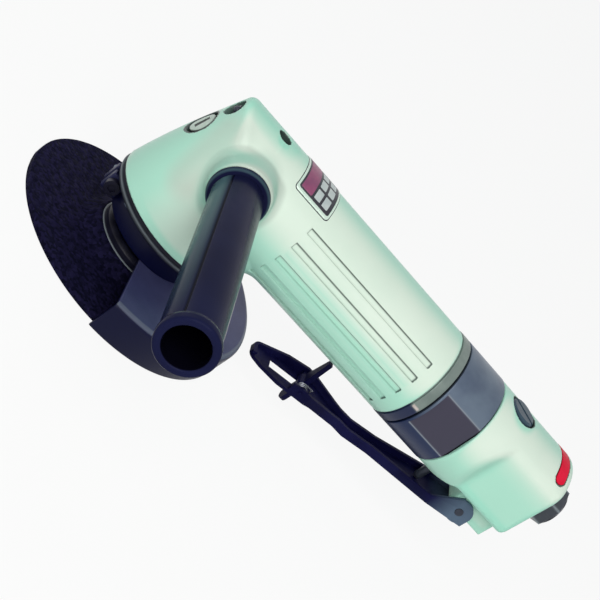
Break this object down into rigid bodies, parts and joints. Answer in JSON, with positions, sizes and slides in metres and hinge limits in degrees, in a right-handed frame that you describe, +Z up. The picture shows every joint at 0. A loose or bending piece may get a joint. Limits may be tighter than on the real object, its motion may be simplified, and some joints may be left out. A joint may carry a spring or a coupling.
{
  "type": "air angle grinder",
  "caption": "Lever-throttle air angle grinder: fluted barrel, angle head with side handle, half guard over a grinding wheel, hexagon air inlet",
  "frame": {"origin": "the centre of the spindle's lower end, level with the wheel's working face", "axes": "+X from the angle head to the air inlet along the barrel, +Z up from the wheel to the head, side handle along -Y"},
  "size_m": [0.2583, 0.1979, 0.0875],
  "materials": {
    "cast_paint": "cast, pale mint paint with a soft sheen",
    "dark_metal": "dark navy, machined and blackened",
    "black_gloss": "glossy black",
    "blued_steel": "dark blued",
    "ring_grey": "grey, fine turned",
    "guard_paint": "dark navy, satin",
    "lever_paint": "dark, satin",
    "wheel_grit": "resin bonded grit, dark navy",
    "inlay_red": "red, soft",
    "bright_steel": "machined",
    "spring_steel": "drawn wire",
    "bearing_steel": "ground",
    "motor_iron": "machined cast iron",
    "bronze": "sintered bronze",
    "vane_brown": "laminated resin",
    "seal_rubber": "soft"
  },
  "bodies": {
    "housing": {"motor_housing": "cast_paint", "backhead": "cast_paint", "bearing_cap": "dark_metal", "inlet_bushing": "dark_metal", "valve_plug": "dark_metal", "front_plug": "dark_metal", "side_handle": "black_gloss", "handle_collar": "black_gloss", "clamp_nut": "blued_steel", "handle_bolt": "blued_steel", "cap_screws": "blued_steel", "spacer_ring": "ring_grey", "lever_pin": "lever_paint", "red_inlay": "inlay_red", "dowel_pin": "bright_steel", "snap_ring": "bright_steel", "bearing_retainer": "bright_steel", "grease_nipple": "bright_steel", "valve_spring": "spring_steel", "spindle_bearing_outer": "bearing_steel", "rotor_bearing_outers": "bearing_steel", "front_end_plate": "motor_iron", "rear_end_plate": "motor_iron", "motor_cylinder": "motor_iron", "top_bush": "bronze", "inlet_screen": "bronze", "plug_seal": "seal_rubber"},
    "spindle": {"spindle": "bright_steel", "gear_key": "bright_steel", "bevel_gear": "bright_steel", "inner_flange": "dark_metal", "grinding_wheel": "wheel_grit", "flange_nut": "bright_steel", "spindle_bearing_inner": "bearing_steel", "spindle_bearing_balls": "bearing_steel"},
    "rotor": {"rotor": "bright_steel", "rotor_vanes": "vane_brown", "bevel_pinion": "bright_steel", "rotor_bearing_inners": "bearing_steel", "rotor_bearing_balls": "bearing_steel"},
    "guard": {"wheel_guard": "guard_paint", "guard_clamp_screw": "blued_steel", "guard_clamp_nut": "blued_steel"},
    "lever": {"throttle_lever": "lever_paint", "latch_pin": "lever_paint", "latch_spring": "spring_steel"},
    "latch": {"safety_latch": "lever_paint"},
    "valve": {"valve_stem": "bright_steel"}
  },
  "joints": [
    {"name": "spindle_spin", "type": "hinge", "parent": "housing", "child": "spindle", "pos_m": [0, 0, 0], "axis": [0, 0, 1], "continuous": true},
    {"name": "rotor_spin", "type": "hinge", "parent": "housing", "child": "rotor", "pos_m": [0.06, 0, 0.06315], "axis": [1, 0, 0], "continuous": true},
    {"name": "guard_turn", "type": "hinge", "parent": "housing", "child": "guard", "pos_m": [0, 0, 0.02115], "axis": [0, 0, 1], "range_deg": [-120, 120]},
    {"name": "lever_press", "type": "hinge", "parent": "housing", "child": "lever", "pos_m": [0.1772, 0, 0.03775], "axis": [0, 1, 0], "range_deg": [0, 7], "stiffness_Nm_per_rad": 6, "springref_deg": -14.32},
    {"name": "valve_push", "type": "slide", "parent": "housing", "child": "valve", "axis": [0, 0, 1], "range_m": [0, 0.0028], "deforming": ["valve_spring"]},
    {"name": "latch_swing", "type": "hinge", "parent": "lever", "child": "latch", "pos_m": [0.0907, 0, 0.02005], "axis": [0, 1, 0], "range_deg": [0, 84.1]}
  ],
  "couplings": [
    {"joint": "rotor_spin", "follows": "spindle_spin", "ratio": 2.4545},
    {"joint": "valve_push", "follows": "lever_press", "m_per_rad": 0.0225},
    {"joint": "latch_swing", "follows": "lever_press", "ratio": 12}
  ]
}
